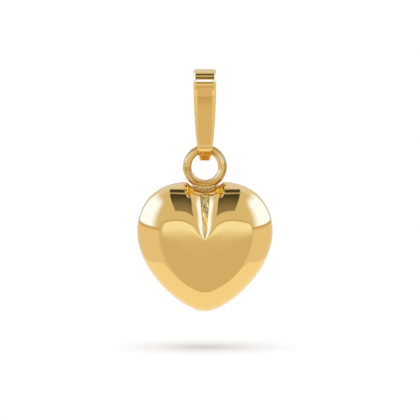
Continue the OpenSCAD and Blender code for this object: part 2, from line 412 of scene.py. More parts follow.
# %% Start, finish and run a tree
def new_tree(name, sizes):
    """A tree with a mesh in and out, a material and the named sizes. Gives it and its inputs."""
    tree = bpy.data.node_groups.new(name, "GeometryNodeTree")
    tree.interface.new_socket("Geometry", in_out="INPUT", socket_type="NodeSocketGeometry")
    tree.interface.new_socket("Geometry", in_out="OUTPUT", socket_type="NodeSocketGeometry")
    tree.interface.new_socket("Finish", in_out="INPUT", socket_type="NodeSocketMaterial")
    for size, value in sizes.items():
        socket = tree.interface.new_socket(size, in_out="INPUT", socket_type="NodeSocketFloat")
        socket.default_value = value
    return tree, add(tree, "NodeGroupInput").outputs


def end_tree(tree, mesh, finish, keen_deg):
    """Shades the mesh smooth apart from edges keener than an angle, and gives it its material."""
    angle = add(tree, "GeometryNodeInputMeshEdgeAngle").outputs["Unsigned Angle"]
    soft = add(tree, MATH, [angle, math.radians(keen_deg)], operation="LESS_THAN")
    faces = add(tree, "GeometryNodeSetShadeSmooth", {"Geometry": mesh}, domain="FACE")
    shading = {"Geometry": faces, "Shade Smooth": soft}
    shaded = add(tree, "GeometryNodeSetShadeSmooth", shading, domain="EDGE")
    real = add(tree, "GeometryNodeRealizeInstances", [shaded])
    finished = add(tree, "GeometryNodeSetMaterial", {"Geometry": real, "Material": finish})
    add(tree, "NodeGroupOutput", [finished])


def line_mesh(name, points):
    """A mesh of points joined in a closed line, for a tree to follow."""
    mesh = bpy.data.meshes.new(name)
    edges = [(i, (i + 1) % len(points)) for i in range(len(points))]
    mesh.from_pydata([tuple(p) for p in points], edges, [])
    return mesh


def run(tree, name, guide, finish, sizes=()):
    """The plain mesh piece that a tree makes from a guide mesh."""
    carrier = bpy.data.objects.new(name, guide)
    bpy.context.scene.collection.objects.link(carrier)
    modifier = carrier.modifiers.new("rule", "NODES")
    modifier.node_group = tree
    inputs = [item for item in tree.interface.items_tree if item.in_out == "INPUT"]
    sockets = {item.name: item.identifier for item in inputs}
    modifier[sockets["Finish"]] = finish
    for size, value in dict(sizes).items():
        modifier[sockets[size]] = value
    bpy.context.view_layer.update()
    made = carrier.evaluated_get(bpy.context.evaluated_depsgraph_get())
    mesh = bpy.data.meshes.new_from_object(made)
    carrier.modifiers.remove(modifier)
    carrier.data = mesh
    mesh.name = name
    triangles = sum(len(p.vertices) - 2 for p in mesh.polygons)
    print(name, "triangles:", triangles)
    return carrier


def ready(piece, body, *nodes):
    """Puts a finished piece on its body, in place of the plain CAD nodes."""
    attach(piece, body)
    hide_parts(*nodes)


# %% [markdown]
# Each half is struck from sheet in a die, so front and back have one form. It could be sculpted or
# built with subdivision, but a mirror finish shows every ripple, and the form has a rule: levels of
# the outline shrink towards the middle as they rise in a superellipse. A node tree follows that
# rule on a plain grid. The columns of the grid run round the outline, and its rows run from the
# crown down to the seam, over the rim and up the lining to its own crown.
#
# The lobes part in a crease, which opens like a keel from its lower end. Its floor is flat, because
# solder ran down into it from the ring, and widens on its way up.

# %% Rule of the dome
# The powers belong to the superellipse: 2 makes the section an ellipse, and more makes it fuller
DOME = {
    "Half depth": HALF_DEPTH,
    "Sheet": 0.25 * MM,
    "Dome power": 2.6,
    "Tip power": 2.0,
    "Seat power": 0.7,
    "Crease width": 0.52 * MM,
    "Crease length": 0.75 * MM,
    "Crease end": 0.15 * MM,
    "Crease flank": 0.98,
    "Crease blend": 0.16 * MM,
    "Crease floor": 0.65,
    "Valley slope": 0.2,
    "Valley end": 1.25 * MM,
    "Valley width": 1.1 * MM,
    "Valley blend": 0.3 * MM,
    "Middle": MIDDLE_Z,
    "Side": -1.0,
}
# The crease's floor widens at this share of the crease's own pace, and its corners are keener
# than the brim by this share
FLOOR_GROWTH = 0.33
FLOOR_CORNER = 0.25
# How late the tip's power and the crown's evened reach set in
TIP_POWER_RISE = 4
CROWN_POWER_RISE = 4
OUTER_ROWS = 190
LINING_ROWS = 8
ROWS = OUTER_ROWS + LINING_ROWS + 2
print("grid of a half shell:", AROUND, "columns,", ROWS, "rows")


def soft_ramp(tree, x, blend):
    """Zero far below zero, x itself far above, with a bend of that softness between."""
    size = add(tree, MATH, [x], operation="ABSOLUTE")
    share = add(tree, MATH, [size, blend], operation="DIVIDE")
    down = add(tree, MATH, [share, -1], operation="MULTIPLY")
    bend = add(tree, MATH, [down], operation="EXPONENT")
    more = add(tree, MATH, [bend, 1], operation="ADD")
    rounding = add(tree, MATH, [more, math.e], operation="LOGARITHM")
    kept = add(tree, MATH, [x, 0], operation="MAXIMUM")
    return add(tree, MATH, [rounding, blend, kept], operation="MULTIPLY_ADD")


# %% Parting of the lobes
def opened(tree, above, crease_length):
    """How far the crease and the floor in it have opened at a height above its end, from 0 to 1."""
    safe = add(tree, MATH, [above, TINY], operation="MAXIMUM")
    length = add(tree, MATH, [safe, crease_length], operation="DIVIDE")
    opening = add(tree, MATH, [length], operation="TANH")
    slowly = add(tree, MATH, [length, FLOOR_GROWTH], operation="MULTIPLY")
    grown = add(tree, MATH, [slowly], operation="TANH")
    return opening, grown


def parting(tree, given, x, z):
    """How far the crease, with its floor, and the broad valley above its end lie below the dome."""
    above = add(tree, MATH, [z, given["Crease end"]], operation="SUBTRACT")
    opening, grown = opened(tree, above, given["Crease length"])
    aside = add(tree, MATH, [x], operation="ABSOLUTE")
    half_w = add(tree, MATH, [opening, given["Crease width"]], operation="MULTIPLY")
    inward = add(tree, MATH, [half_w, aside], operation="SUBTRACT")
    flank = add(tree, MATH, [inward, given["Crease flank"]], operation="MULTIPLY")
    blend = add(tree, MATH, [opening, given["Crease blend"]], operation="MULTIPLY")
    sharp = soft_ramp(tree, flank, blend)
    floor_share = add(tree, MATH, [grown, given["Crease floor"]], operation="MULTIPLY")
    walls = add(tree, MATH, [1, floor_share], operation="SUBTRACT")
    steep = add(tree, MATH, [half_w, given["Crease flank"]], operation="MULTIPLY")
    floor = add(tree, MATH, [walls, steep], operation="MULTIPLY")
    corner = add(tree, MATH, [blend, FLOOR_CORNER], operation="MULTIPLY")
    crease = add(tree, MATH, [sharp, floor, corner], operation="SMOOTH_MIN")

    across = add(tree, MATH, [x, given["Valley width"]], operation="DIVIDE")
    spread = add(tree, MATH, [across, across], operation="MULTIPLY")
    less = add(tree, MATH, [spread, -1], operation="MULTIPLY")
    fade = add(tree, MATH, [less], operation="EXPONENT")
    slope = add(tree, MATH, [fade, given["Valley slope"]], operation="MULTIPLY")
    over_end = add(tree, MATH, [z, given["Valley end"]], operation="SUBTRACT")
    climb = soft_ramp(tree, over_end, given["Valley blend"])
    return add(tree, MATH, [slope, climb, crease], operation="MULTIPLY_ADD")


# %% Section of the dome
def dome_rise(tree, given, column, at, level):
    """The share of its depth that the dome has at a level, by the superellipse of a column."""
    reach, crown_rim, near_seat = column
    # The superellipse is fuller towards the tip and by the seat
    upward = add(tree, MATH, [at["Z"], reach], operation="DIVIDE")
    downward = add(tree, MATH, [upward, -0.5, 0.5], operation="MULTIPLY_ADD")
    to_tip = add(tree, MATH, [downward, TIP_POWER_RISE], operation="POWER")
    at_seat = [near_seat, given["Seat power"], given["Dome power"]]
    power_up = add(tree, MATH, at_seat, operation="MULTIPLY_ADD")
    power = add(tree, MATH, [to_tip, given["Tip power"], power_up], operation="MULTIPLY_ADD")

    # Away from the rim, the rise follows the evened reach of the crown instead of the outline
    ratio = add(tree, MATH, [reach, crown_rim], operation="DIVIDE")
    more = add(tree, MATH, [ratio, 1], operation="SUBTRACT")
    rim_share = add(tree, MATH, [level, CROWN_POWER_RISE], operation="POWER")
    inner = add(tree, MATH, [1, rim_share], operation="SUBTRACT")
    gain = add(tree, MATH, [more, inner, 1], operation="MULTIPLY_ADD")
    evened = add(tree, MATH, [level, gain], operation="MULTIPLY")
    lost = add(tree, MATH, [evened, power], operation="POWER")
    left = add(tree, MATH, [1, lost], operation="SUBTRACT")
    safe = add(tree, MATH, [left, 0], operation="MAXIMUM")
    return add(tree, MATH, [safe], operation="SQRT")


# %% Tree of a half shell
def at_column(tree, given, index, field, kind):
    """What a field says at the point of the outline that a column runs to."""
    sample = add(tree, "GeometryNodeSampleIndex", data_type=kind)
    tree.links.new(given["Geometry"], sample.inputs["Geometry"])
    tree.links.new(field.outputs[0], sample.inputs["Value"])
    tree.links.new(index.outputs[0], sample.inputs["Index"])
    return sample


def dome_tree():
    tree, given = new_tree("half shell", DOME)
    grid = add(tree, "GeometryNodeMeshGrid", [AROUND, ROWS - 1, AROUND + 1, ROWS])
    cell = add(tree, SEPARATE, [add(tree, "GeometryNodeInputPosition")]).outputs
    from_left = add(tree, MATH, [cell["X"], AROUND / 2], operation="ADD")
    from_start = add(tree, MATH, [cell["Y"], (ROWS - 1) / 2], operation="ADD")
    column = add(tree, MATH, [from_left], operation="ROUND")
    row = add(tree, MATH, [from_start], operation="ROUND")
    lining = add(tree, MATH, [row, OUTER_ROWS + 0.5], operation="GREATER_THAN")

    # The point of the outline that the column runs to
    index = add(tree, MATH, [column, AROUND], operation="FLOORED_MODULO")
    spot = add(tree, "GeometryNodeInputPosition")
    rim = at_column(tree, given, index, spot, "FLOAT_VECTOR")
    at = add(tree, SEPARATE, [rim]).outputs
    reach = add(tree, VECTOR, [rim], operation="LENGTH").outputs["Value"]
    kept = [
        add(tree, "GeometryNodeInputNamedAttribute", {"Name": name}, data_type="FLOAT")
        for name in ("crown reach", "by seat")
    ]
    crown_rim, near_seat = [at_column(tree, given, index, field, "FLOAT") for field in kept]

    # How far in the row lies: 1 at the seam and 0 at the crown, as the cosine of a quarter turn
    past_seam = add(tree, MATH, [row, OUTER_ROWS], operation="SUBTRACT")
    signed = add(tree, MATH, [past_seam, lining], operation="SUBTRACT")
    from_seam = add(tree, MATH, [signed], operation="ABSOLUTE")
    fewer = [lining, LINING_ROWS - OUTER_ROWS, OUTER_ROWS]
    rows_here = add(tree, MATH, fewer, operation="MULTIPLY_ADD")
    share = add(tree, MATH, [from_seam, rows_here], operation="DIVIDE")
    quarter = add(tree, MATH, [share, math.pi / 2], operation="MULTIPLY")
    level = add(tree, MATH, [quarter], operation="COSINE")

    # The lining lies one thickness of sheet inside the outer face
    inset = add(tree, MATH, [lining, given["Sheet"]], operation="MULTIPLY")
    depth = add(tree, MATH, [given["Half depth"], inset], operation="SUBTRACT")
    own_reach = add(tree, MATH, [reach, inset], operation="SUBTRACT")
    own_share = add(tree, MATH, [own_reach, reach], operation="DIVIDE")
    shrink = add(tree, MATH, [level, own_share], operation="MULTIPLY")
    x = add(tree, MATH, [at["X"], shrink], operation="MULTIPLY")
    z = add(tree, MATH, [at["Z"], shrink], operation="MULTIPLY")

    rise = dome_rise(tree, given, (reach, crown_rim, near_seat), at, level)
    crown = add(tree, MATH, [depth, parting(tree, given, x, z)], operation="SUBTRACT")
    height = add(tree, MATH, [crown, rise], operation="MULTIPLY")
    y = add(tree, MATH, [height, given["Side"]], operation="MULTIPLY")
    world_z = add(tree, MATH, [z, given["Middle"]], operation="ADD")
    place = add(tree, COMBINE, [x, y, world_z])
    bent = add(tree, "GeometryNodeSetPosition", {"Geometry": grid, "Position": place})
    closed = add(tree, "GeometryNodeMergeByDistance", {"Geometry": bent, "Distance": TINY})

    # A back half is the front's mirror image, so its faces are turned to look outwards again
    is_back = add(tree, MATH, [given["Side"], 0], operation="GREATER_THAN")
    faced = add(tree, "GeometryNodeFlipFaces", {"Mesh": closed, "Selection": is_back})
    end_tree(tree, faced, given["Finish"], keen_deg=25)
    return tree


# %% [markdown]
# No buff reaches the floor of the crease. The solder that ran down there stays rough and pale, and
# draws the eye as a line of glints. A mask follows the floor by its own rule, on the height and on
# the distance from the middle. The real grain is finer than the picture can show, so it is drawn
# coarser here, and stretched along the crease as the solder ran.

# %% Gold of the shells
LINE_GRAIN = 0.2 * MM
LINE_PITS = 0.2 * MM
LINE_STRETCH = 0.2
LINE_EDGE = 0.04 * MM
LINE_DULLNESS = 0.25
LINE_COLOUR = "#FFD670"


def struck_gold():
    # A mirror with wide swirls: clear reflections whose edges tremble a little
    material, tree, metal = gold(
        "polished gold sheet", smooth=0.03, rough=0.08, swirl_mm=1.5, dent_mm=0.0004, grain_mm=0.5,
    )
    buffed = metal.inputs["Roughness"].links[0].from_socket
    dents = metal.inputs["Normal"].links[0].from_socket
    place = add(tree, "ShaderNodeTexCoord").outputs["Object"]
    at = add(tree, SEPARATE, [place]).outputs
    aside = add(tree, MATH, [at["X"]], operation="ABSOLUTE")
    above = add(tree, MATH, [at["Z"], MIDDLE_Z + DOME["Crease end"]], operation="SUBTRACT")
    opening, grown = opened(tree, above, DOME["Crease length"])
    share = add(tree, MATH, [opening, grown], operation="MULTIPLY")
    full_half_w = DOME["Crease floor"] * DOME["Crease width"]
    half_w = add(tree, MATH, [share, full_half_w], operation="MULTIPLY")
    into = add(tree, MATH, [half_w, aside], operation="SUBTRACT")
    raw = add(tree, "ShaderNodeMapRange", [into, 0, LINE_EDGE, 0, 1])
    drawn_out = add(tree, VECTOR, [place, (1, 1, LINE_STRETCH)], operation="MULTIPLY")
    bits = add(tree, "ShaderNodeTexNoise", {
        "Vector": drawn_out, "Scale": 1 / LINE_GRAIN, "Detail": 1.0,
    })
    pits = add(tree, "ShaderNodeBump", {
        "Height": bits.outputs["Fac"], "Distance": LINE_PITS, "Strength": raw, "Normal": dents,
    })
    dull = add(tree, MATH, [raw, LINE_DULLNESS, buffed], operation="MULTIPLY_ADD")
    colours = {0: raw, 6: srgb(GOLD) + [1], 7: srgb(LINE_COLOUR) + [1]}
    pale = add(tree, "ShaderNodeMix", colours, data_type="RGBA")
    tree.links.new(pale.outputs[2], metal.inputs["Base Color"])
    tree.links.new(dull.outputs[0], metal.inputs["Roughness"])
    tree.links.new(pits.outputs[0], metal.inputs["Normal"])
    return material


# %% Heart shells
shell_rule = dome_tree()
guide = line_mesh("outline", [(x, 0, z) for x, z in outline])
for name, values in (("crown reach", crown_reach), ("by seat", by_seat)):
    guide.attributes.new(name, "FLOAT", "POINT").data.foreach_set("value", values)
struck = struck_gold()
for side, node in ((-1.0, "heart_front"), (1.0, "heart_back")):
    shell = run(shell_rule, node + "_shell", guide, struck, {"Side": side})
    ready(shell, "heart", node)

# %% [markdown]
# The bail is one strap of sheet, bent to an arch over the chain, pinched in at a neck, and folded
# at the foot round the ring. Seen from its edge it is a chain of arcs and straight lines. Those are
# worked out here once, and a tree then sweeps the strap's section along them. A swept curve keeps
# the section square to the bends, which a modelled box would not. The outer face is filed to a
# bevel along both edges, which draws a thin line of light down each side of the strap.

# %% Line of the bail
BAIL_LOW, BAIL_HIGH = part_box("bail")
STRAP_T = BAIL_HIGH.z
TOP_W = BAIL_HIGH.x - BAIL_LOW.x
ARCH_R = BAIL_HIGH.y - STRAP_T / 2
ARCH_Z = STRAP_T / 2 - ARCH_R
ARCH_CURL = math.radians(18)
NECK_L = 0.5 * MM
NECK_R = 0.3 * MM
SHOULDER_R = 0.45 * MM
FOLD_R = 0.05 * MM + STRAP_T / 2
FOLD_LEAN = math.radians(45)
FOLD_Z = BAIL_LOW.z + STRAP_T / 2
STRAP_EDGE = 0.1 * MM
FOOT_W = 0.9 * MM
FOLD_GAIN = 0.07 * MM
RING_PLAY = 0.04 * MM
# The solids have less room here: the photo shows the fold a little taller
FOOT_ROOM = 0.3 * MM
FACET = math.radians(2)


def towards(angle):
    """The way out of the strap's face at an angle above level, as depth and height."""
    return np.array([math.cos(angle), math.sin(angle)])


def bend(centre, radius, start, end):
    """Points of an arc, up to just before its end."""
    steps = max(2, round(abs(end - start) / FACET))
    return [centre + radius * towards(start + (end - start) * i / steps) for i in range(steps)]


def straight(start, end, step=0.1 * MM):
    steps = max(2, round(np.linalg.norm(end - start) / step))
    return [start + (end - start) * i / steps for i in range(steps)]


arch_c = np.array([0, ARCH_Z])
arch_foot = arch_c + ARCH_R * towards(-ARCH_CURL)
neck_foot = arch_foot + NECK_L * towards(-ARCH_CURL - math.pi / 2)
neck_c = neck_foot + NECK_R * towards(-ARCH_CURL)
fold_half_w = FOOT_W / 2 + FOLD_GAIN - STRAP_EDGE
fold_reach = RING_R - math.sqrt((RING_R - WIRE_R) ** 2 - fold_half_w**2) + RING_PLAY
fold_c = np.array([0, FOLD_Z + FOLD_R])
shoulder_y = fold_reach + FOOT_ROOM + STRAP_T / 2 - SHOULDER_R
flat_l = shoulder_y / math.cos(FOLD_LEAN) + SHOULDER_R - FOLD_R
flat_foot = fold_c + FOLD_R * towards(-FOLD_LEAN)
flat_top = flat_foot + flat_l * towards(math.pi / 2 - FOLD_LEAN)
shoulder_c = flat_top - SHOULDER_R * towards(-FOLD_LEAN)

# Each leg is the straight line that touches the bend of the neck and the shoulder
span = shoulder_c - neck_c
crossing = math.asin((NECK_R + SHOULDER_R) / np.linalg.norm(span))
lean = math.atan2(-span[0], -span[1]) - crossing
leg_top = neck_c - NECK_R * towards(-lean)
leg_foot = shoulder_c + SHOULDER_R * towards(-lean)
right_side = (
    bend(arch_c, ARCH_R, math.pi / 2, -ARCH_CURL)
    + straight(arch_foot, neck_foot)
    + bend(neck_c, -NECK_R, -ARCH_CURL, -lean)
    + straight(leg_top, leg_foot)
    + bend(shoulder_c, SHOULDER_R, -lean, -FOLD_LEAN)
    + straight(flat_top, flat_foot)
    + bend(fold_c, FOLD_R, -FOLD_LEAN, -math.pi / 2)
    + [np.array([0, FOLD_Z])]
)
bail_line = [(0, y, z) for y, z in right_side] + [(0, -y, z) for y, z in right_side[-2:0:-1]]
print("bail line points:", len(bail_line))
print("lean of a leg, degrees:", round(math.degrees(lean), 2))

# %% Section of the strap
STRAP = {
    "Thickness": STRAP_T,
    "Top width": TOP_W,
    "Foot width": FOOT_W,
    "Top height": ARCH_Z,
    "Foot height": FOLD_Z,
    "Edge": STRAP_EDGE,
}
EDGE_FACETS = 6
SECTION_STEP = 0.03 * MM
BEVEL_W = 0.14 * MM
BEVEL_SLOPE = 0.95
BEVEL_BLEND = 0.04 * MM
print("strap, mm:", {name: round(value / MM, 3) for name, value in STRAP.items()})


def strap_section(tree, given):
    """The section of the strap where it is widest."""
    sheet = add(tree, "GeometryNodeCurvePrimitiveQuadrilateral", {
        "Width": given["Top width"], "Height": given["Thickness"],
    })
    rounded = add(tree, "GeometryNodeFilletCurve", {
        "Curve": sheet, "Count": EDGE_FACETS, "Radius": given["Edge"],
    }, mode="POLY")
    steps = {"Curve": rounded, "Length": SECTION_STEP}
    cut = add(tree, "GeometryNodeResampleCurve", steps, mode="LENGTH")

    # The outer face is filed off along both edges, and the inner one stays flat
    half_w = add(tree, MATH, [given["Top width"], 0.5], operation="MULTIPLY")
    half_t = add(tree, MATH, [given["Thickness"], 0.5], operation="MULTIPLY")
    on = add(tree, SEPARATE, [add(tree, "GeometryNodeInputPosition")]).outputs
    out = add(tree, MATH, [on["X"]], operation="ABSOLUTE")
    from_edge = add(tree, MATH, [half_w, out], operation="SUBTRACT")
    on_bevel = add(tree, MATH, [BEVEL_W, from_edge], operation="SUBTRACT")
    ramp = add(tree, MATH, [on_bevel, 0, BEVEL_BLEND], operation="SMOOTH_MAX")
    share = add(tree, MATH, [ramp, given["Thickness"]], operation="DIVIDE")
    thin = add(tree, MATH, [share, -BEVEL_SLOPE, 1], operation="MULTIPLY_ADD")
    above_inner = add(tree, MATH, [half_t, on["Y"]], operation="SUBTRACT")
    filed = add(tree, MATH, [above_inner, thin], operation="MULTIPLY")
    new_y = add(tree, MATH, [half_t, filed], operation="SUBTRACT")
    spot = add(tree, COMBINE, [on["X"], new_y, 0])
    return add(tree, "GeometryNodeSetPosition", {"Geometry": cut, "Position": spot})


# %% Tree of the strap
def tapered(tree, given, swept):
    """The strap narrowed faster and faster towards its foot. Its faces shrink, and its edges keep
    their form."""
    here = add(tree, SEPARATE, [add(tree, "GeometryNodeInputPosition")]).outputs
    drop = [here["Z"], given["Top height"], given["Foot height"], 0, 1]
    fall = add(tree, "ShaderNodeMapRange", drop, clamp=True)
    square = add(tree, MATH, [fall, fall], operation="MULTIPLY")
    loss = add(tree, MATH, [given["Top width"], given["Foot width"]], operation="SUBTRACT")
    lost = add(tree, MATH, [loss, square], operation="MULTIPLY")
    half_loss = add(tree, MATH, [lost, 0.5], operation="MULTIPLY")
    half_w = add(tree, MATH, [given["Top width"], 0.5], operation="MULTIPLY")
    flat_top = add(tree, MATH, [half_w, given["Edge"]], operation="SUBTRACT")
    flat_here = add(tree, MATH, [flat_top, half_loss], operation="SUBTRACT")
    aside = add(tree, MATH, [here["X"]], operation="ABSOLUTE")
    on_flat = add(tree, MATH, [aside, flat_top], operation="MINIMUM")
    on_edge = add(tree, MATH, [aside, on_flat], operation="SUBTRACT")
    ratio = add(tree, MATH, [flat_here, flat_top], operation="DIVIDE")
    new_aside = add(tree, MATH, [on_flat, ratio, on_edge], operation="MULTIPLY_ADD")
    way = add(tree, MATH, [here["X"]], operation="SIGN")
    new_x = add(tree, MATH, [new_aside, way], operation="MULTIPLY")
    place = add(tree, COMBINE, [new_x, here["Y"], here["Z"]])
    return add(tree, "GeometryNodeSetPosition", {"Geometry": swept, "Position": place})


def strap_tree():
    tree, given = new_tree("folded strap", STRAP)
    path = add(tree, "GeometryNodeMeshToCurve", {"Mesh": given["Geometry"]})
    across = {"Curve": path, "Normal": (1, 0, 0)}
    level = add(tree, "GeometryNodeSetCurveNormal", across, mode="FREE")
    section = strap_section(tree, given)
    swept = add(tree, "GeometryNodeCurveToMesh", {"Curve": level, "Profile Curve": section})
    end_tree(tree, tapered(tree, given, swept), given["Finish"], keen_deg=40)
    return tree


# The strap was buffed before it was folded, which left it a little less even than the heart
POLISHED, _, _ = gold(
    "polished gold strap", smooth=0.03, rough=0.09, swirl_mm=1.0, dent_mm=0.0006, grain_mm=0.6,
)
strap = run(strap_tree(), "bail_strap", line_mesh("bail line", bail_line), POLISHED)
ready(strap, "bail", "bail")

# %% [markdown]
# The arch of the bail shows bright and dark bands, and its leg a shade with a round lower end. They
# come from small cards held right in front of the bail, which are too small and too near to show
# much in anything else. A card of the arch fills what the arch shows between two heights above
# level, so its corners follow from the way the arch reflects. The leg is flat, and shows its card
# in full size.

# %% Cards at the bail
NEAR = 2.5 * MM
NEAR_HALF_W = 0.75 * MM
# From and to, in degrees above level, and what gold shows there
BANDS = [(5, 17.5, "#A8832F"), (22, 36, "#FFFFFF"), (36.5, 43.5, "#D9B56C"), (58.5, 70, "#C9A54F")]


def near_card(points, low, high=None, turn_from=0.75):
    """A card with these corners, whose light turns into another one near its top."""
    mesh = bpy.data.meshes.new("near card")
    mesh.from_pydata(points, [], [tuple(range(len(points)))])
    lit = bpy.data.materials.new("near card light")
    lit.use_nodes = True
    tree = lit.node_tree
    tree.nodes.clear()
    place = add(tree, "ShaderNodeTexCoord").outputs["Generated"]
    rise = add(tree, SEPARATE, [place]).outputs["Z"]
    turn = add(tree, "ShaderNodeMapRange", [rise, turn_from, 1, 0, 1])
    lights = {0: turn, 6: seen_in_gold(low), 7: seen_in_gold(high or low)}
    shade = add(tree, "ShaderNodeMix", lights, data_type="RGBA")
    shine = add(tree, "ShaderNodeEmission", {"Color": shade.outputs[2]})
    add(tree, "ShaderNodeOutputMaterial", [shine])
    mesh.materials.append(lit)
    card = bpy.data.objects.new("near card", mesh)
    card.visible_camera = False
    card.visible_diffuse = False
    card.visible_shadow = False
    bpy.context.scene.collection.objects.link(card)
    card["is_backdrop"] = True


for low, high, code in BANDS:
    edges = []
    for rise in (math.radians(low), math.radians(high)):
        face = arch_c + BAIL_HIGH.y * towards((rise + CAMERA_RISE) / 2)
        edges.append(face + NEAR * towards(rise))
    (low_y, low_z), (high_y, high_z) = edges
    near_card([
        (-NEAR_HALF_W, -low_y, low_z), (NEAR_HALF_W, -low_y, low_z),
        (NEAR_HALF_W, -high_y, high_z), (-NEAR_HALF_W, -high_y, high_z),
    ], code)
print("cards at the arch:", len(BANDS))

# %% Card of the leg
LEG_HALF_W = 0.56 * MM
LEG_TOP = -1.6 * MM
LEG_SIDES_END = -4.92 * MM
LEG_CORNER = 0.35 * MM
LEG_CORNER_STEPS = 6
LEG_LIGHT, LEG_TOP_LIGHT = "#D8AD64", "#C4984F"

# Where the leg shows its card: down one side, round both corners of the foot, and up the other
turns = [math.pi / 2 * i / LEG_CORNER_STEPS for i in range(LEG_CORNER_STEPS + 1)]
across = LEG_HALF_W - LEG_CORNER
corner = [
    (across + LEG_CORNER * math.cos(t), LEG_SIDES_END - LEG_CORNER * math.sin(t))
    for t in turns
]
right = [(LEG_HALF_W, LEG_TOP)] + corner
shape = right + [(-x, z) for x, z in right[::-1]]

# The leg's face is flat, so every point of it looks the same way
leg_way = (leg_foot - leg_top) / (leg_foot[1] - leg_top[1])
leg_view = towards(-2 * lean - CAMERA_RISE)
points = []
for x, z in shape:
    on_leg = leg_top + towards(-lean) * STRAP_T / 2 + (z - leg_top[1]) * leg_way
    y, z = on_leg + NEAR * leg_view
    points.append((x, -y, z))
near_card(points, LEG_LIGHT, LEG_TOP_LIGHT)
print("corners of the leg's card:", len(points))

# %% [markdown]
# The ring is round wire, so a circle swept along a circle is all it takes. It was closed and
# soldered into the notch in one heating, and then tumbled with steel shot, which brightens wire
# without making it a mirror. Drawing the wire through its die left fine lines along it, which pull
# light out into streaks round the ring. Dark streaks are painted into the wire's colour as well, as
# a painted dark reflection. The pattern of its gold is stretched round the ring for that. Real die
# lines are far finer than the picture can show, so the painted streaks are drawn as coarse as a
# third of the wire.

# %% Gold of the wire
# The way round the ring counts this little, so the pattern comes out long in that direction
STRETCH = 0.04
DARK_STREAK_SIZE = 0.2 * MM
FULL_STREAK_BELOW, NO_STREAK_ABOVE = 0.38, 0.52
# Painted dark reflection, laid round the wire in streaks
DARK_STREAK_PAINTED_REFLECTION = "#C89848"
WIRE_GOLD = "#F7C870"


def round_the_ring(tree, place):
    """Turns a place into distance from the ring's axis, depth, and a shortened way round it."""
    from_axis = add(tree, VECTOR, [place, (0, 0, RING_Z)], operation="SUBTRACT")
    at = add(tree, SEPARATE, [from_axis]).outputs
    flat = add(tree, COMBINE, [at["X"], 0, at["Z"]])
    away = add(tree, VECTOR, [flat], operation="LENGTH").outputs["Value"]
    angle = add(tree, MATH, [at["Z"], at["X"]], operation="ARCTAN2")
    round_way = add(tree, MATH, [angle, STRETCH * RING_R], operation="MULTIPLY")
    return add(tree, COMBINE, [away, at["Y"], round_way]).outputs[0]


def drawn_gold():
    # Soft furrows along the wire, which pull every light out into a streak
    material, tree, metal = gold(
        "tumbled gold wire", smooth=0.05, rough=0.12, swirl_mm=0.3, dent_mm=0.4, grain_mm=0.22,
        flow=round_the_ring,
    )
    place = round_the_ring(tree, add(tree, "ShaderNodeTexCoord").outputs["Object"])
    # Dark streaks painted into the colour stand in for dark reflections
    streak_noise = add(tree, "ShaderNodeTexNoise", {
        "Vector": place, "Scale": 1 / DARK_STREAK_SIZE, "Detail": 1.0,
    })
    unstreaked = add(tree, "ShaderNodeMapRange", [streak_noise.outputs["Fac"], FULL_STREAK_BELOW, NO_STREAK_ABOVE, 0, 1])
    colours = {0: unstreaked, 6: srgb(DARK_STREAK_PAINTED_REFLECTION) + [1], 7: srgb(WIRE_GOLD) + [1]}
    streaked_colour = add(tree, "ShaderNodeMix", colours, data_type="RGBA")
    tree.links.new(streaked_colour.outputs[2], metal.inputs["Base Color"])
    return material


TUMBLED = drawn_gold()

# %% Ring
RING = {"Ring radius": RING_R, "Wire radius": WIRE_R, "Height": RING_Z}
RING_FACETS = 200
WIRE_FACETS = 48


def ring_tree():
    tree, given = new_tree("round wire ring", RING)
    circle = add(tree, "GeometryNodeCurvePrimitiveCircle", {
        "Resolution": RING_FACETS, "Radius": given["Ring radius"],
    }, mode="RADIUS")
    wire = add(tree, "GeometryNodeCurvePrimitiveCircle", {
        "Resolution": WIRE_FACETS, "Radius": given["Wire radius"],
    }, mode="RADIUS")
    swept = add(tree, "GeometryNodeCurveToMesh", {"Curve": circle, "Profile Curve": wire})
    up = add(tree, COMBINE, [0, 0, given["Height"]])
    stood = add(tree, "GeometryNodeTransform", {
        "Geometry": swept, "Translation": up, "Rotation": (math.pi / 2, 0, 0),
    })
    end_tree(tree, stood, given["Finish"], keen_deg=40)
    return tree


no_guide = line_mesh("no guide", [(0, 0, 0), (0, 0, MM)])
ring = run(ring_tree(), "ring_wire", no_guide, TUMBLED)
ready(ring, "heart", "jump_ring")

# %% [markdown]
# Solder climbs by itself into the narrow gap between two hot pieces and sets there with hollow
# sides. The CAD model has it as a plain strip. Here a tree bends a grid to its real form: a strip
# round the ring's foot that is narrow on the wire, broad on the heart, and lumpy, as solder is
# where no file reaches it.

# %% Solder
_, solder_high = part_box("solder")
# The strip ends a little before the solid does, because drops of solder cover its ends
SHORTER_BY = math.radians(5)
FILLET = {
    "Height": RING_Z,
    "Wire side": RING_R + 0.42 * WIRE_R,
    "Heart side": SEAT_R + 0.15 * MM,
    "Half width on wire": 0.86 * WIRE_R,
    "Half width on heart": 0.55 * MM,
    "Half turn": math.asin(solder_high.x / SEAT_R) - SHORTER_BY,
    "Lumps": 0.06 * MM,
}
LUMP_SIZE = 0.15 * MM
HOLLOW = 2.2
END_TAPER = 6
LAST_ROW = 0.999
FILLET_STEPS = 180
FILLET_ROWS = 48

# Solder sets with a grainy skin, and the tumbling only wore it to a satin
SOLDERED, _, _ = gold(
    "gold solder", smooth=0.2, rough=0.35, swirl_mm=0.2, dent_mm=0.05, grain_mm=0.2,
)


def pushed_about(tree, mesh, amount, size, detail):
    """The mesh with its points pushed about by a noise, whose lumps have this size."""
    noise = add(tree, "ShaderNodeTexNoise", {"Scale": 1 / size, "Detail": detail})
    centred = add(tree, VECTOR, [noise.outputs["Color"], (0.5, 0.5, 0.5)], operation="SUBTRACT")
    push = add(tree, VECTOR, {0: centred, "Scale": amount}, operation="SCALE")
    return add(tree, "GeometryNodeSetPosition", {"Geometry": mesh, "Offset": push})


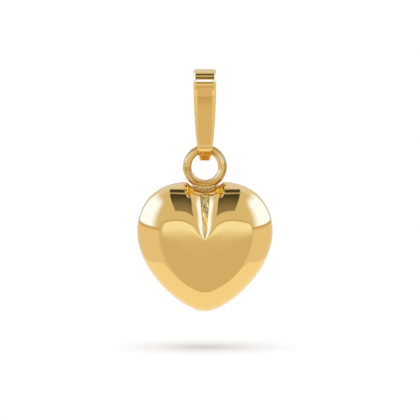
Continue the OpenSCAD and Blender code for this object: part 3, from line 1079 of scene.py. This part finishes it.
def fillet_tree():
    tree, given = new_tree("solder fillet", FILLET)
    grid = add(tree, "GeometryNodeMeshGrid", [2, 2, FILLET_STEPS + 1, FILLET_ROWS + 1])
    cell = add(tree, SEPARATE, [add(tree, "GeometryNodeInputPosition")]).outputs

    # The rows climb one flank and go down the other: low is 1 on the heart and 0 on the wire
    low = add(tree, MATH, [cell["Y"]], operation="ABSOLUTE")
    hollow = add(tree, MATH, [low, HOLLOW], operation="POWER")
    widths = [given["Half width on heart"], given["Half width on wire"]]
    gain = add(tree, MATH, widths, operation="SUBTRACT")
    half_w = add(tree, MATH, [hollow, gain, given["Half width on wire"]], operation="MULTIPLY_ADD")
    drop = add(tree, MATH, [given["Heart side"], given["Wire side"]], operation="SUBTRACT")
    away = add(tree, MATH, [low, drop, given["Wire side"]], operation="MULTIPLY_ADD")

    # It thins out towards both ends
    along_size = add(tree, MATH, [cell["X"]], operation="ABSOLUTE")
    late = add(tree, MATH, [along_size, END_TAPER], operation="POWER")
    left = add(tree, MATH, [1, late], operation="SUBTRACT")
    taper = add(tree, MATH, [left, 0], operation="MAXIMUM")
    thinned = add(tree, MATH, [taper], operation="SQRT")
    own_half = add(tree, MATH, [half_w, thinned], operation="MULTIPLY")
    face = add(tree, MATH, [cell["Y"]], operation="SIGN")
    flank = add(tree, MATH, [own_half, face], operation="MULTIPLY")

    # The first and the last row meet in the middle of the gap, which closes the strip underneath
    open_row = add(tree, MATH, [low, LAST_ROW], operation="LESS_THAN")
    y = add(tree, MATH, [flank, open_row], operation="MULTIPLY")

    turned = add(tree, MATH, [cell["X"], given["Half turn"]], operation="MULTIPLY")
    across = add(tree, MATH, [turned], operation="SINE")
    down = add(tree, MATH, [turned], operation="COSINE")
    x = add(tree, MATH, [across, away], operation="MULTIPLY")
    below = add(tree, MATH, [down, away], operation="MULTIPLY")
    z = add(tree, MATH, [given["Height"], below], operation="SUBTRACT")
    place = add(tree, COMBINE, [x, y, z])
    bent = add(tree, "GeometryNodeSetPosition", {"Geometry": grid, "Position": place})
    closed = add(tree, "GeometryNodeMergeByDistance", {"Geometry": bent, "Distance": TINY})

    lumpy = pushed_about(tree, closed, given["Lumps"], LUMP_SIZE, detail=3.0)
    end_tree(tree, lumpy, given["Finish"], keen_deg=80)
    return tree


fillet = run(fillet_tree(), "solder_fillet", no_guide, SOLDERED)
ready(fillet, "heart", "solder")

# %% [markdown]
# Where the seat ends, a spare drop of solder stayed on each lobe, at the front and the back. Nobody
# polishes there, so the drops keep their crinkled skin. Their deep orange is a painted reflection
# of the ring in the lobes, and it shows as small bright facets. A ball whose points are pushed
# about by a noise looks the same.

# %% Drops of solder
DROPS = {
    "Aside": 1.15 * MM,
    "Out": 1.0 * MM,
    "Height": HIGH.z - 0.76 * MM,
    "Radius": 0.4 * MM,
    "Crinkle": 0.32 * MM,
}
CRINKLE_SIZE = 0.25 * MM
BALL_STEPS = 6
# Deep orange: a painted reflection of the ring in the lobes
DROP_ORANGE_PAINTED_REFLECTION = "#F4AE22"


def drops_tree():
    tree, given = new_tree("drops of solder", DROPS)
    spots = []
    for x_way, y_way in ((-1, -1), (1, -1), (-1, 1), (1, 1)):
        x = add(tree, MATH, [given["Aside"], x_way], operation="MULTIPLY")
        y = add(tree, MATH, [given["Out"], y_way], operation="MULTIPLY")
        spot = add(tree, COMBINE, [x, y, given["Height"]])
        ball = add(tree, "GeometryNodeMeshIcoSphere", {
            "Radius": given["Radius"], "Subdivisions": BALL_STEPS,
        })
        spots.append(add(tree, "GeometryNodeTransform", {"Geometry": ball, "Translation": spot}))
    together = add(tree, "GeometryNodeJoinGeometry")
    for spot in spots:
        tree.links.new(spot.outputs[0], together.inputs[0])
    crinkled = pushed_about(tree, together, given["Crinkle"], CRINKLE_SIZE, detail=0.5)
    end_tree(tree, crinkled, given["Finish"], keen_deg=120)
    return tree


# The skin of a drop is bright wherever it isn't crinkled
drop_gold_painted_reflection, _, drop_metal_painted_reflection = gold(
    "crinkled solder with painted reflection", smooth=0.05, rough=0.2, swirl_mm=0.2, dent_mm=0.004, grain_mm=0.1,
)
# The drops' deep orange colour is a painted reflection of the ring
drop_metal_painted_reflection.inputs["Base Color"].default_value = srgb(DROP_ORANGE_PAINTED_REFLECTION) + [1]
drops = run(drops_tree(), "solder_drops", no_guide, drop_gold_painted_reflection)
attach(drops, "heart")

# %% [markdown]
# The finer meshes have to fit into the box of the solids, so that a tool that trusts the solids
# can trust the looks too. The two boxes are written side by side.

# %% Write the sizes and finish
boxes = {
    "cad": [list(corner) for corner in cad_bounds],
    "visual": [list(corner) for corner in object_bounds()],
}
for name, box in boxes.items():
    print(name, "box, mm:", [[round(v / MM, 3) for v in corner] for corner in box])
